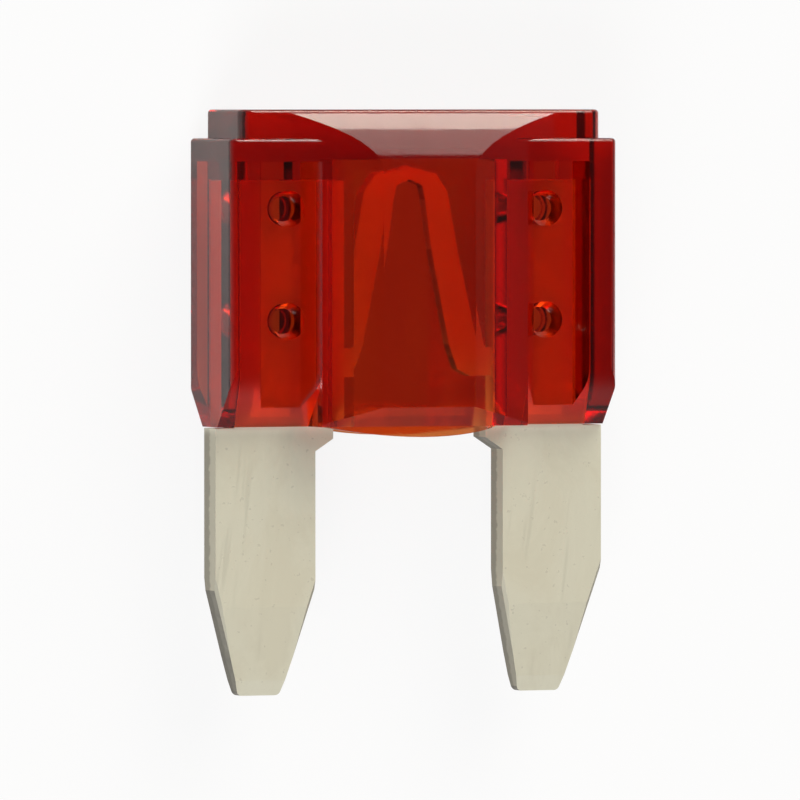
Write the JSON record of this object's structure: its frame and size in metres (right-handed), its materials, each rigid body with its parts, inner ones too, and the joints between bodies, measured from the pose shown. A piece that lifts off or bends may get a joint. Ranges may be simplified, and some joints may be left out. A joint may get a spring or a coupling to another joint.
{
  "type": "mini blade fuse",
  "caption": "Plug-in mini blade fuse: a clear red moulding staked over a stamped metal strip whose flat bevelled blades push into a fuse holder.",
  "frame": {"origin": "middle of the footprint of the fuse lying on its back, on the surface it lies on", "axes": "+Y from the blade tips to the cap, +Z out of the front face, +X across the blades to the right when the front face is seen with the cap up"},
  "size_m": [0.011, 0.0152, 0.0036],
  "materials": {
    "zinc": "dull rolled zinc, satin",
    "clear_red": "clear, moulded glossy"
  },
  "bodies": {
    "root": {"fuse_element": "zinc", "housing": "clear_red"}
  },
  "joints": []
}
